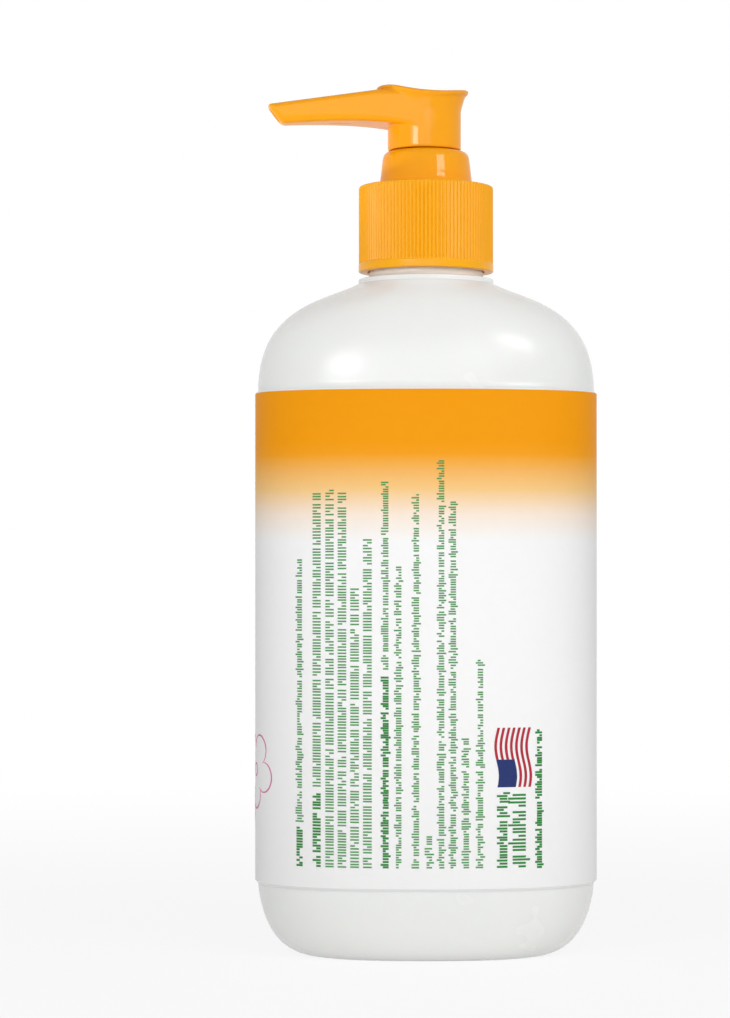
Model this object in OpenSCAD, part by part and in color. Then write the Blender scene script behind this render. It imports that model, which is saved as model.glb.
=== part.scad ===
// Liquid soap bottle with a lock-down pump, in millimetres and +Z up.
// The origin is the middle of the base, on the floor. The pump is drawn locked down.

/* [Bottle] */
// Width of the body, side to side
body_w = 82.6; // [70:0.2:96]
// Depth of the body, front to back
body_d = 49.6; // [42:0.2:64]
// Squareness of the oval section, where 2 is an ellipse
body_square = 2.4; // [2:0.1:3]
// Height of the shoulder's flat top
body_h = 164.3; // [150:0.5:190]
// Height of the shoulder's curve
shoulder_h = 26.2; // [20:0.2:26.2]
// Height of the rounded heel
heel_h = 17.3; // [12:0.1:18]
// How far the heel draws in at the sides
heel_in_w = 12.4; // [8:0.2:14]
// How far the heel draws in at the front and back
heel_in_d = 8; // [5:0.2:10]
// Wall of the blown body
wall = 1.1; // [0.8:0.1:1.6]
// Width of the flat ring that the bottle stands on
foot_ring = 3.5; // [2:0.5:5]
// Height of the hollow in the base
push_up = 2.4; // [1:0.2:4]

/* [Label] */
// Height of the label's lower edge
label_z = 18.2; // [18.2:0.1:24]
// Height of the label
label_h = 119.2; // [90:0.2:119.2]
// Thickness of the label
label_t = 0.2; // [0.1:0.05:0.4]
// How far the label panel stands out of the body
panel_raise = 0.55; // [0.2:0.05:0.8]

/* [Neck] */
// Diameter of the round step under the neck
step_d = 33.2; // [31.6:0.1:34]
// Height of that step
step_h = 1.3; // [0.8:0.1:2]
// Diameter of the bead at the neck's foot
bead_d = 28; // [27.4:0.1:28.2]
// Height of that bead
bead_h = 3.4; // [2.4:0.1:5]
// Fillet between the bead and the step
bead_fillet = 1.3; // [0.6:0.1:1.6]
// Outer diameter of the neck's threaded wall
neck_d = 25.8; // [25.4:0.1:26.4]
// Bore of the neck
neck_bore = 23.2; // [22.4:0.1:23.6]
// Height of the neck above the step
neck_h = 18.6; // [17:0.1:22]

/* [Closure] */
// Outer diameter of the screw closure
closure_d = 33.2; // [32.6:0.1:36]
// Height of the closure
closure_h = 21.1; // [19.6:0.1:21.6]
// Inner diameter of its skirt
closure_bore = 28.8; // [28.6:0.1:29.6]
// Thickness of its top
closure_top_t = 1.6; // [1.2:0.1:2.2]
// Height of the plain band at its foot
band_h = 1.8; // [1:0.1:4]
// Number of grip ribs
rib_count = 108; // [72:1:120]
// Depth of the grip ribs
rib_depth = 0.32; // [0.2:0.02:0.5]
// Fillet around its top edge
closure_fillet = 0.8; // [0.6:0.1:1.4]
// Diameter of the hole in its top
closure_hole = 20.2; // [19.8:0.1:21]

/* [Collar] */
// Diameter of the collar's foot
collar_d = 23.2; // [22.4:0.1:25]
// Height of the lip around its foot
collar_lip_h = 1.6; // [1:0.1:2.4]
// How far the collar draws in over that lip
collar_lip_in = 0.35; // [0.1:0.05:0.6]
// Diameter at the collar's shoulder
collar_shoulder_d = 20.9; // [20:0.1:21.8]
// Diameter of the collar's flat top
collar_top_d = 17.8; // [16.6:0.1:18.6]
// Height of the collar above the closure
collar_h = 8.6; // [7.6:0.1:11]
// Height of the rounding at the collar's shoulder
collar_round = 2; // [1.2:0.1:2.4]
// Bore that takes the head's lock boss
lock_bore = 13.2; // [12.8:0.1:13.6]
// Thickness of the collar's floor
collar_floor = 1.2; // [0.8:0.1:1.8]

/* [Head] */
// Diameter of the hub
hub_d = 18; // [17.6:0.1:19]
// Wall of the hub's skirt
hub_wall = 1.1; // [0.8:0.1:1.2]
// Height of the head from the hub's foot to the lowest point of the thumb dish
head_h = 13.8; // [12.6:0.1:17]
// Distance from the stem's axis to the spout's tip
spout_reach = 39.2; // [30:0.2:50]
// Width of the spout at its tip
spout_tip_w = 6.6; // [5.6:0.1:9]
// Height of the spout's underside above the hub's foot, at the tip
spout_low = 6.5; // [6:0.1:8]
// Height of the spout at its tip
spout_tip_h = 4.4; // [4.4:0.1:6]
// Rise of the spout's top line from its tip to the pad
spout_rise = 3.2; // [2:0.1:3.4]
// Squareness of the spout's section, where 2 is an ellipse
spout_square = 8; // [4:1:12]
// Arch of the spout's underside
spout_arch = 0.5; // [0.2:0.1:0.8]
// Slant of the tip's face from the vertical, in degrees
tip_slant = 36; // [15:1:40]
// Diameter of the outlet bore
outlet_bore = 3; // [2:0.1:3.2]
// Length of the thumb pad, an oval
pad_d = 22.6; // [21:0.1:24]
// Width of the thumb pad
pad_w = 19.4; // [18.8:0.1:22.6]
// How far the pad's middle lies toward the spout
pad_ahead = 0.9; // [0:0.1:1.4]
// Radius of the thumb dish
dish_r = 31.3; // [28:0.1:60]
// How far the dish's lowest line lies behind the stem's axis
dish_back = 1.6; // [1:0.1:4]
// Height of the flare under the pad
flare_h = 4.4; // [2:0.1:4.6]
// Thickness of the pad's rim where the dish is lowest
pad_t = 0.5; // [0.4:0.1:1.4]
// Height of the pad's flat front crown above that point
pad_crown = 1.9; // [1:0.1:2.4]
// How far the underside comes down where it meets the hub
root_drop = 1.2; // [0:0.1:2]
// Diameter of the lock boss
boss_d = 12.4; // [11.6:0.1:12.4]
// Turn of the head from the bottle's width, in degrees
head_yaw = 4.5; // [0:0.5:360]

/* [Pump] */
// Travel of the head
stroke = 14; // [8:0.5:15]
// Outer diameter of the stem
stem_d = 7.2; // [6.8:0.1:7.6]
// Bore of the stem
stem_bore = 4.4; // [3.6:0.1:4.6]
// How deep the stem sits in the head, above the hub's foot
stem_socket = 7.6; // [6:0.1:8.4]
// Diameter of the ring on the stem that pushes the piston
stem_ring_d = 10.4; // [9.4:0.1:11]
// Thickness of that ring
stem_ring_t = 1.4; // [1:0.1:2]
// Bore of the pump's housing
barrel_bore = 13; // [12.8:0.1:13.2]
// Wall of the housing
barrel_wall = 0.8; // [0.8:0.05:1]
// Depth of the barrel under the flange
barrel_l = 42; // [41:0.5:48]
// How far the barrel stands above the closure
barrel_rise = 0.8; // [0.4:0.1:1.2]
// Diameter of the flange that rests on the neck
flange_d = 25.8; // [24.6:0.1:26.6]
// Thickness of that flange
flange_t = 1.35; // [1:0.05:2]
// Thickness of the gasket
gasket_t = 1.2; // [0.8:0.1:1.8]
// Length of the piston
piston_l = 9.9; // [8:0.1:10.4]
// Diameter of the piston's waist
piston_waist = 10; // [9:0.1:11]
// Height of each sealing lip of the piston
lip_h = 2.2; // [1.6:0.1:3]
// Diameter of the flange at the foot of the valve plug
plug_flange_d = 11.2; // [10.4:0.1:11.8]
// Thickness of that flange
plug_flange_t = 1.5; // [1:0.1:2]
// Length of the plug's neck inside the spring
plug_neck_l = 2; // [1:0.5:4]
// Length of the plug's shank in the stem
plug_shank = 12; // [8:0.5:16]
// Thickness of the shank's flutes
plug_flute = 1.1; // [0.8:0.1:1.6]

/* [Inlet valve] */
// Diameter of the ball
ball_d = 5; // [4.4:0.1:5.2]
// Free lift of the ball
ball_lift = 1.1; // [0.6:0.1:1.6]
// Radial room around the ball
ball_room = 0.6; // [0.4:0.1:0.8]
// Bore under the ball
inlet_bore = 3.2; // [2.6:0.1:3.4]
// Thickness of the cage's plate
cage_t = 1.5; // [1:0.1:2]
// Diameter of the cage's post inside the spring
cage_post_d = 3.8; // [3:0.1:4]
// Height of that post
cage_post_h = 3; // [1:0.5:5]
// Number of flow holes in the cage
cage_holes = 5; // [3:1:6]
// Diameter of the flow holes
cage_hole_d = 2; // [1.4:0.1:2.2]

/* [Spring] */
// Outer diameter of the spring
spring_d = 10; // [9.4:0.1:10.6]
// Wire of the spring
spring_wire = 0.9; // [0.6:0.05:1]
// Number of turns
spring_turns = 9; // [6:1:10]

/* [Dip tube] */
// Outer diameter of the dip tube
tube_d = 6; // [5:0.1:6.6]
// Wall of the dip tube
tube_wall = 0.8; // [0.5:0.05:1]
// Depth of the socket that holds the tube
socket_h = 10; // [6:0.5:14]
// Wall of that socket
socket_wall = 1.2; // [0.8:0.1:1.6]
// Gap between the tube's end and the bottle's floor
tube_gap = 3; // [1.5:0.5:8]

/* [Clearances] */
// Radial gap of a shaft that slides or turns in its bore
run_gap = 0.06; // [0.04:0.01:0.1]
// Gap between flat faces that move past each other
face_gap = 0.1; // [0.06:0.02:0.2]
// Gap between the flange and the closure's ceiling
ceiling_gap = 0.15; // [0.1:0.05:0.3]
// Radial gap where pieces pass through each other without guiding
loose_gap = 0.2; // [0.1:0.05:0.4]
// Gap between the lock boss and the collar's floor
boss_gap = 0.4; // [0.2:0.1:1]
// Radial gap between the spring and what stands inside it
spring_gap = 0.5; // [0.2:0.1:0.8]

/* [Hidden] */
// Fineness of the oval rings, the spout's rings and the round faces
oval_sides = 64;
spout_sides = 28;
round_sides = 96;
// How far joined shapes overlap, and how far cuts run past what they cut
eps = 0.01;
over = 1;

// Heights that stack up from the neck
step_top = body_h + step_h;
rim_z = step_top + neck_h;
flange_z = rim_z + gasket_t;
ceiling_z = flange_z + flange_t + ceiling_gap;
closure_top = ceiling_z + closure_top_t;
closure_foot = closure_top - closure_h;
collar_foot = closure_top + face_gap;
collar_top = collar_foot + collar_h;
hub_foot = collar_top + face_gap;
barrel_top = closure_top + barrel_rise;
floor_z = barrel_top + face_gap;
dish_z = hub_foot + head_h;
crown_z = dish_z + pad_crown;

// Heights that stack down from the collar's floor
stem_ring_top = floor_z - stroke - 2 * face_gap;
stem_ring_z = stem_ring_top - stem_ring_t;
piston_top = stem_ring_z - face_gap;
piston_z = piston_top - piston_l;
plug_top = piston_z - face_gap;
spring_top = plug_top - plug_flange_t;
barrel_floor = flange_z - barrel_l;
spring_foot = barrel_floor + cage_t;
spring_l = spring_top - spring_foot;

// The ball rests on a 45 degree seat
ball_chamber_r = ball_d / 2 + ball_room;
seat_touch = ball_d / 2 * cos(45);
seat_gap = 0.02;
seat_web = 2;
ball_z = barrel_floor - ball_lift - ball_d / 2;
seat_rim = ball_z - seat_touch - (seat_touch - inlet_bore / 2) - seat_gap;
seat_top = seat_rim + ball_chamber_r - inlet_bore / 2;
socket_top = seat_rim - seat_web;
socket_foot = socket_top - socket_h;

// The inside of the bottle
step_r = step_d / 2;
crown_out = 0.3;
crown_r = step_r + crown_out;
cavity_top = body_h - wall;
tube_end = push_up + wall + tube_gap;
tube_r = tube_d / 2;

// Fits
closure_r = closure_d / 2;
hub_r = hub_d / 2;
boss_r = boss_d / 2;
boss_foot = floor_z + collar_floor + boss_gap;
stem_r = stem_d / 2;
stem_top = hub_foot + stem_socket;
barrel_r = barrel_bore / 2;
barrel_out = barrel_r + barrel_wall;
spring_r = (spring_d - spring_wire) / 2;
plug_neck_r = spring_r - spring_wire / 2 - spring_gap;

orange = [0.98, 0.65, 0.11];
bottle_white = [0.93, 0.93, 0.94];
label_white = [0.97, 0.97, 0.97];
natural = [0.9, 0.92, 0.9];
steel = [0.75, 0.76, 0.78];

// A point on a cubic curve with two handles
function curve(a, b, c, d, t) =
    pow(1 - t, 3) * a + 3 * pow(1 - t, 2) * t * b + 3 * (1 - t) * t * t * c + pow(t, 3) * d;

// A number raised to a power with its sign kept
function signed_pow(v, p) = sign(v) * pow(abs(v), p);

// An oval of half-width a and half-depth b, squarer as square goes above 2
function oval(a, b, square) = [
    for (i = [0 : oval_sides - 1])
        let (t = 360 * i / oval_sides)
        [a * signed_pow(cos(t), 2 / square), b * signed_pow(sin(t), 2 / square)]
];

// One level of the body: [half-width, half-depth, squareness, height]
function level(a, b, square, z) = [a, b, square, z];

// The heel, from the foot ring up to the straight wall
heel_steps = 8;
heel_full = 1.04;
heel_lift = 0.08;
heel_upright = 1.18;
function heel(inset) = [
    for (i = [0 : heel_steps])
        let (t = i / heel_steps,
             out = curve(0, heel_full, 1, 1, t),
             z = curve(inset, inset + heel_h * heel_lift, heel_h * heel_upright, heel_h, t))
        level(body_w / 2 - inset - heel_in_w * (1 - out), body_d / 2 - inset - heel_in_d * (1 - out),
              body_square, z)
];

// The shoulder, from the straight wall up to the crown, where the section is round
shoulder_steps = 11;
shoulder_full = 0.3;
shoulder_lift = 0.196;
crown_drop = 0.152;
function shoulder(inset) = [
    for (i = [0 : shoulder_steps])
        let (t = i / shoulder_steps,
             share = curve(1, 1, shoulder_full, 0, t),
             z = curve(body_h - shoulder_h, body_h - shoulder_h * shoulder_lift,
                       body_h - shoulder_h * crown_drop, body_h, t) - inset * (1 - pow(share, 4)))
        level(crown_r - inset + (body_w / 2 - crown_r) * share,
              crown_r - inset + (body_d / 2 - crown_r) * share,
              2 + (body_square - 2) * share, z)
];

// The label panel, a low step that runs round the body a little past the label's edges
panel_margin = 0.3;
panel_foot = label_z - panel_margin;
panel_top = label_z + label_h + panel_margin;
function panel(inset, out) = [
    level(body_w / 2 - inset, body_d / 2 - inset, body_square, panel_foot + inset),
    level(body_w / 2 - inset + out, body_d / 2 - inset + out, body_square, panel_foot + inset),
    level(body_w / 2 - inset + out, body_d / 2 - inset + out, body_square, panel_top - inset),
    level(body_w / 2 - inset, body_d / 2 - inset, body_square, panel_top - inset)
];

// A closed solid through a list of levels
module loft(levels) {
    last = len(levels) - 1;
    points = [
        for (l = levels)
            for (p = oval(l[0], l[1], l[2])) [p[0], p[1], l[3]]
    ];
    sides = [
        for (j = [0 : last - 1])
            for (i = [0 : oval_sides - 1])
                let (k = (i + 1) % oval_sides)
                [j * oval_sides + i, (j + 1) * oval_sides + i, (j + 1) * oval_sides + k,
                 j * oval_sides + k]
    ];
    foot = [for (i = [0 : oval_sides - 1]) i];
    crown = [for (i = [oval_sides - 1 : -1 : 0]) last * oval_sides + i];
    polyhedron(points, concat([foot], sides, [crown]));
}

// The hollow in the base, and the flat ring around it
foot_w = body_w / 2 - heel_in_w;
foot_d = body_d / 2 - heel_in_d;
dome_in = 6;
function base(inset) = [
    level(foot_w - foot_ring - dome_in, foot_d - foot_ring - dome_in, body_square, push_up + inset),
    level(foot_w - foot_ring, foot_d - foot_ring, body_square, inset)
];

module body_outside() {
    loft(concat(base(0), heel(0), panel(0, panel_raise), shoulder(0)));
}

module body_inside() {
    loft(concat(base(wall), heel(wall), panel(wall, panel_raise), shoulder(wall)));
}

// The step, the bead and the wall of the neck, as one turned solid
module neck_outside() {
    rotate_extrude($fn = round_sides) {
        translate([0, cavity_top]) square([step_r, step_top - cavity_top]);
        translate([0, cavity_top]) square([bead_d / 2, step_top + bead_h - cavity_top]);
        translate([0, cavity_top]) square([neck_d / 2, rim_z - cavity_top]);
        difference() {
            translate([bead_d / 2 - eps, step_top - eps]) square(bead_fillet + eps);
            translate([bead_d / 2 + bead_fillet, step_top + bead_fillet])
                circle(bead_fillet, $fn = round_sides);
        }
    }
}

module bottle() {
    color(bottle_white) difference() {
        union() {
            body_outside();
            neck_outside();
        }
        body_inside();
        translate([0, 0, cavity_top - over])
            cylinder(d = neck_bore, h = rim_z - cavity_top + 2 * over, $fn = round_sides);
    }
}

module label() {
    color(label_white) translate([0, 0, label_z]) linear_extrude(label_h) difference() {
        polygon(oval(body_w / 2 + panel_raise + label_t, body_d / 2 + panel_raise + label_t,
                     body_square));
        polygon(oval(body_w / 2 + panel_raise, body_d / 2 + panel_raise, body_square));
    }
}

// The ribbed skirt's outline, one flat tooth and one flat gap for each rib, a hair inside the band.
// Each corner of a rib is a share of its turn and a share of its depth.
rib_shy = 0.06;
rib_corners = [[0, 0], [0.2, 1], [0.5, 1], [0.7, 0]];
function ribs(r) = [
    for (i = [0 : rib_count - 1])
        for (corner = rib_corners)
            let (t = 360 * (i + corner[0]) / rib_count, out = r - rib_depth * (1 - corner[1]))
            [out * cos(t), out * sin(t)]
];

module closure() {
    core_r = closure_r - rib_shy - rib_depth - face_gap;
    rib_foot = closure_foot + band_h / 2;
    rib_top = closure_top - closure_fillet / 2;
    color(orange) difference() {
        union() {
            rotate_extrude($fn = round_sides) difference() {
                translate([0, closure_foot]) square([core_r, closure_h]);
                translate([core_r - closure_fillet, closure_top - closure_fillet]) difference() {
                    square(closure_fillet + eps);
                    circle(closure_fillet, $fn = round_sides);
                }
            }
            translate([0, 0, closure_foot])
                cylinder(r = closure_r, h = band_h, $fn = round_sides);
            translate([0, 0, rib_foot])
                linear_extrude(rib_top - rib_foot) polygon(ribs(closure_r - rib_shy));
        }
        translate([0, 0, closure_foot - over])
            cylinder(d = closure_bore, h = ceiling_z - closure_foot + over, $fn = round_sides);
        translate([0, 0, ceiling_z - over])
            cylinder(d = closure_hole, h = closure_top_t + 2 * over, $fn = round_sides);
    }
}

// The glossy cone over the closure, which snaps onto the housing
module collar() {
    shoulder_r = collar_shoulder_d / 2;
    shoulder_z = collar_top - collar_round;
    snap_r = closure_hole / 2 - loose_gap;
    snap_foot = flange_z + flange_t;
    color(orange) difference() {
        rotate_extrude($fn = round_sides) {
            polygon([
                [0, collar_foot], [collar_d / 2, collar_foot],
                [collar_d / 2 - collar_lip_in, collar_foot + collar_lip_h],
                [shoulder_r, shoulder_z], [0, shoulder_z]
            ]);
            translate([0, shoulder_z - eps]) square([collar_top_d / 2, collar_round + eps]);
            intersection() {
                translate([collar_top_d / 2 - eps, shoulder_z])
                    square([shoulder_r - collar_top_d / 2 + eps, collar_round]);
                translate([shoulder_r - collar_round, shoulder_z])
                    circle(collar_round, $fn = round_sides);
            }
            translate([0, snap_foot]) square([snap_r, collar_foot - snap_foot]);
        }
        translate([0, 0, floor_z + collar_floor])
            cylinder(d = lock_bore, h = collar_top - floor_z, $fn = round_sides);
        translate([0, 0, flange_z])
            cylinder(r = stem_r + run_gap, h = collar_top - flange_z, $fn = round_sides);
        translate([0, 0, flange_z])
            cylinder(r = barrel_out, h = floor_z - flange_z, $fn = round_sides);
    }
}

// Half-width of the spout at x, along the line that runs from the tip to touch the hub's side
tip_half = spout_tip_w / 2;
lean = atan2(sqrt(pow(spout_reach, 2) + pow(tip_half, 2) - pow(hub_r, 2)), hub_r);
side_slope = tan(90 - lean - atan2(tip_half, spout_reach));
function spout_half(x) = tip_half + side_slope * (spout_reach + x);

pad_front = -pad_ahead - pad_d / 2;
spout_top_z = hub_foot + spout_low + spout_tip_h;
function top_line(x) = spout_top_z + spout_rise * (spout_reach + x) / (spout_reach + pad_front);
function root_share(x) = min(1, (spout_reach + x) / (spout_reach - hub_r));
function under_line(x) =
    hub_foot + spout_low + spout_arch * sin(180 * root_share(x)) - root_drop * pow(root_share(x), 8);

// The spout's rings run from past the tip to inside the hub
spout_steps = 14;
spout_end = -2;
under_share = 0.74;
function spout_ring(x) = [
    for (i = [0 : spout_sides - 1])
        let (t = 360 * i / spout_sides,
             u = signed_pow(cos(t), 2 / spout_square),
             v = signed_pow(sin(t), 2 / spout_square),
             half = spout_half(x) * (under_share + (1 - under_share) * (v + 1) / 2),
             low = under_line(x),
             high = min(top_line(x), dish_z))
        [x, u * half, low + (high - low) * (v + 1) / 2]
];

module spout() {
    start = -spout_reach;
    block = 4 * spout_tip_w;
    rings = [for (j = [0 : spout_steps]) spout_ring(start + (spout_end - start) * j / spout_steps)];
    points = [for (r = rings) for (p = r) p];
    sides = [
        for (j = [0 : spout_steps - 1])
            for (i = [0 : spout_sides - 1])
                let (k = (i + 1) % spout_sides)
                [j * spout_sides + i, (j + 1) * spout_sides + i, (j + 1) * spout_sides + k,
                 j * spout_sides + k]
    ];
    tip = [for (i = [0 : spout_sides - 1]) i];
    root = [for (i = [spout_sides - 1 : -1 : 0]) spout_steps * spout_sides + i];
    difference() {
        polyhedron(points, concat([tip], sides, [root]));
        translate([-spout_reach, 0, spout_top_z])
            rotate([0, 90 - tip_slant, 0])
                translate([-over, -block / 2, -block]) cube([block, block, block]);
    }
}

// The thumb pad, an oval plate over a flare, dished by a wide cylinder and flat at its front crown
pad_lip = 0.3;
module pad() {
    plate_z = dish_z - pad_t;
    difference() {
        translate([-pad_ahead, 0, 0]) scale([1, pad_w / pad_d, 1]) {
            translate([0, 0, plate_z]) cylinder(d = pad_d, h = crown_z - plate_z, $fn = round_sides);
            translate([0, 0, plate_z - flare_h + eps])
                cylinder(r1 = hub_r - face_gap, r2 = pad_d / 2 - pad_lip, h = flare_h, $fn = round_sides);
        }
        translate([dish_back, 0, dish_z + dish_r]) rotate([90, 0, 0])
            cylinder(r = dish_r, h = 2 * pad_d, center = true, $fn = 2 * round_sides);
    }
}

skirt_roof = 1;
module head() {
    skirt_r = hub_r - hub_wall;
    cavity_h = spout_low - skirt_roof;
    outlet_z = hub_foot + spout_low + spout_tip_h / 2;
    color(orange) rotate([0, 0, head_yaw]) difference() {
        union() {
            translate([0, 0, hub_foot]) cylinder(r = hub_r, h = head_h - pad_t, $fn = round_sides);
            translate([0, 0, boss_foot])
                cylinder(r = boss_r, h = hub_foot - boss_foot + over, $fn = round_sides);
            pad();
            spout();
        }
        difference() {
            translate([0, 0, hub_foot - eps]) cylinder(r = skirt_r, h = cavity_h, $fn = round_sides);
            translate([0, 0, hub_foot - over])
                cylinder(r = boss_r, h = cavity_h + 2 * over, $fn = round_sides);
        }
        translate([0, 0, boss_foot - over])
            cylinder(r = stem_r, h = stem_top - boss_foot + over, $fn = round_sides);
        translate([0, 0, stem_top - eps])
            cylinder(d = stem_bore, h = outlet_z - stem_top + outlet_bore / 2, $fn = round_sides);
        translate([0, 0, outlet_z]) rotate([0, -90, 0])
            cylinder(d = outlet_bore, h = spout_reach + over, $fn = round_sides);
    }
}

stem_short = 1;
module stem() {
    stem_foot = piston_z + stem_short;
    color(natural) difference() {
        union() {
            translate([0, 0, stem_foot])
                cylinder(r = stem_r, h = stem_top - stem_foot, $fn = round_sides);
            translate([0, 0, stem_ring_z])
                cylinder(d = stem_ring_d, h = stem_ring_t, $fn = round_sides);
        }
        translate([0, 0, stem_foot - over])
            cylinder(d = stem_bore, h = stem_top - stem_foot + 2 * over, $fn = round_sides);
    }
}

module piston() {
    lip_r = barrel_r - run_gap;
    color(label_white) difference() {
        union() {
            translate([0, 0, piston_z]) cylinder(d = piston_waist, h = piston_l, $fn = round_sides);
            translate([0, 0, piston_z]) cylinder(r = lip_r, h = lip_h, $fn = round_sides);
            translate([0, 0, piston_top - lip_h]) cylinder(r = lip_r, h = lip_h, $fn = round_sides);
        }
        translate([0, 0, piston_z - over])
            cylinder(r = stem_r + run_gap, h = piston_l + 2 * over, $fn = round_sides);
    }
}

// The plug closes the piston from below and is pressed into the stem by a fluted shank
module valve_plug() {
    shank_r = stem_bore / 2;
    long = stem_bore + 2 * over;
    tall = plug_shank + 2 * over;
    color(natural) {
        translate([0, 0, spring_top])
            cylinder(d = plug_flange_d, h = plug_flange_t, $fn = round_sides);
        translate([0, 0, spring_top - plug_neck_l])
            cylinder(r = plug_neck_r, h = plug_neck_l + eps, $fn = round_sides);
        intersection() {
            translate([0, 0, plug_top - eps]) cylinder(r = shank_r, h = plug_shank, $fn = round_sides);
            union() {
                translate([-long / 2, -plug_flute / 2, plug_top - over])
                    cube([long, plug_flute, tall]);
                translate([-plug_flute / 2, -long / 2, plug_top - over])
                    cube([plug_flute, long, tall]);
            }
        }
    }
}

// A round wire along a helix whose ends are closed turns
wire_sides = 6;
turn_steps = 20;
closed_pitch = 1.05;
module spring() {
    steps = spring_turns * turn_steps;
    rise = spring_l - spring_wire;
    wire_r = spring_wire / 2;
    closed = closed_pitch * spring_wire;
    // The first and last turn are wound closed, and the turns between share the rest of the rise
    function part_turned(j, from, count) = min(1, max(0, (j - from) / count));
    function lift(j) = closed * part_turned(j, 0, turn_steps)
        + (rise - 2 * closed) * part_turned(j, turn_steps, steps - 2 * turn_steps)
        + closed * part_turned(j, steps - turn_steps, turn_steps);
    points = [
        for (j = [0 : steps])
            let (a = 360 * j / turn_steps)
            for (i = [0 : wire_sides - 1])
                let (b = 360 * (i + 0.5) / wire_sides, r = spring_r + wire_r * cos(b))
                [r * cos(a), r * sin(a), spring_foot + wire_r + lift(j) + wire_r * sin(b)]
    ];
    sides = [
        for (j = [0 : steps - 1])
            for (i = [0 : wire_sides - 1])
                let (k = (i + 1) % wire_sides)
                [j * wire_sides + i, j * wire_sides + k, (j + 1) * wire_sides + k,
                 (j + 1) * wire_sides + i]
    ];
    first = [for (i = [wire_sides - 1 : -1 : 0]) i];
    final = [for (i = [0 : wire_sides - 1]) steps * wire_sides + i];
    color(steel) polyhedron(points, concat([first], sides, [final]));
}

module housing() {
    socket_r = tube_r + socket_wall;
    color(natural) difference() {
        union() {
            translate([0, 0, barrel_floor - barrel_wall])
                cylinder(r = barrel_out, h = barrel_top - barrel_floor + barrel_wall, $fn = round_sides);
            translate([0, 0, flange_z]) cylinder(d = flange_d, h = flange_t, $fn = round_sides);
            translate([0, 0, seat_rim])
                cylinder(r1 = socket_r, r2 = barrel_out, h = barrel_floor - barrel_wall - seat_rim + eps,
                         $fn = round_sides);
            translate([0, 0, socket_foot])
                cylinder(r = socket_r, h = seat_rim + over - socket_foot, $fn = round_sides);
        }
        translate([0, 0, barrel_floor])
            cylinder(r = barrel_r, h = barrel_top - barrel_floor + over, $fn = round_sides);
        translate([0, 0, seat_top])
            cylinder(r = ball_chamber_r, h = barrel_floor - seat_top + over, $fn = round_sides);
        translate([0, 0, seat_rim])
            cylinder(r1 = inlet_bore / 2, r2 = ball_chamber_r, h = seat_top - seat_rim + eps,
                     $fn = round_sides);
        translate([0, 0, socket_top - over])
            cylinder(d = inlet_bore, h = seat_rim - socket_top + over + eps, $fn = round_sides);
        translate([0, 0, socket_foot - over])
            cylinder(r = tube_r, h = socket_h + over, $fn = round_sides);
    }
}

module gasket() {
    color(label_white) translate([0, 0, rim_z]) difference() {
        cylinder(d = flange_d, h = gasket_t, $fn = round_sides);
        translate([0, 0, -over])
            cylinder(r = barrel_out + loose_gap, h = gasket_t + 2 * over, $fn = round_sides);
    }
}

// A plate on the barrel's floor that traps the ball and carries the spring
module ball_cage() {
    hole_ring = (cage_post_d + cage_hole_d) / 2 + face_gap;
    color(natural) difference() {
        union() {
            translate([0, 0, barrel_floor]) cylinder(r = barrel_r, h = cage_t, $fn = round_sides);
            translate([0, 0, spring_foot - eps])
                cylinder(d = cage_post_d, h = cage_post_h + eps, $fn = round_sides);
        }
        for (i = [0 : cage_holes - 1])
            rotate([0, 0, 360 * i / cage_holes]) translate([hole_ring, 0, barrel_floor - over])
                cylinder(d = cage_hole_d, h = cage_t + 2 * over, $fn = round_sides);
    }
}

module inlet_ball() {
    color(steel) translate([0, 0, ball_z]) sphere(d = ball_d, $fn = round_sides);
}

// A straight tube, cut aslant at its end
module dip_tube() {
    color(natural) difference() {
        translate([0, 0, tube_end]) cylinder(r = tube_r, h = socket_top - tube_end, $fn = round_sides);
        translate([0, 0, tube_end - over])
            cylinder(r = tube_r - tube_wall, h = socket_top - tube_end + 2 * over, $fn = round_sides);
        translate([-tube_r, 0, tube_end]) rotate([0, 45, 0])
            translate([0, -tube_d, -3 * tube_d]) cube([3 * tube_d, 2 * tube_d, 3 * tube_d]);
    }
}

bottle();
label();
closure();
collar();
head();
stem();
piston();
valve_plug();
spring();
housing();
gasket();
ball_cage();
inlet_ball();
dip_tube();
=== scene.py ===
import math
import bpy
import numpy as np
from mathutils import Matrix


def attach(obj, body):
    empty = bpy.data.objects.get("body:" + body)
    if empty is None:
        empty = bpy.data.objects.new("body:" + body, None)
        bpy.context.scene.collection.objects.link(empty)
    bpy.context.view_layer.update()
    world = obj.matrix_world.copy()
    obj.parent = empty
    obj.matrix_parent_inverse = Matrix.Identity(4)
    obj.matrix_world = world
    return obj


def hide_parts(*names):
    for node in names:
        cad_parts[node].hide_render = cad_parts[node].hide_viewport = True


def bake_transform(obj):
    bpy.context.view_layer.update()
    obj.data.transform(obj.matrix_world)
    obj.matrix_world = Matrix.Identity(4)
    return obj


# A white oval soap bottle with a printed wrap-round label and an orange lock-down pump.
# Lengths in this file are millimetres until newPiece puts them into a mesh in metres.
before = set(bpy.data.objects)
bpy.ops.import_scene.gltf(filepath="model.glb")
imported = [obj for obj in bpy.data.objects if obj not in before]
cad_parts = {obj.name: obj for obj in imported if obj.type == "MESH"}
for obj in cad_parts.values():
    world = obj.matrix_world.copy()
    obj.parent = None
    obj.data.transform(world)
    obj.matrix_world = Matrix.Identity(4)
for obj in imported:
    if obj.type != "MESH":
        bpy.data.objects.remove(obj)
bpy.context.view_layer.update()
print("frame loaded")


# Shapes that several pieces share

def signedPower(value, power):
    # |value| to the power, with the sign of value kept
    return np.sign(value) * np.abs(value) ** power


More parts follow.
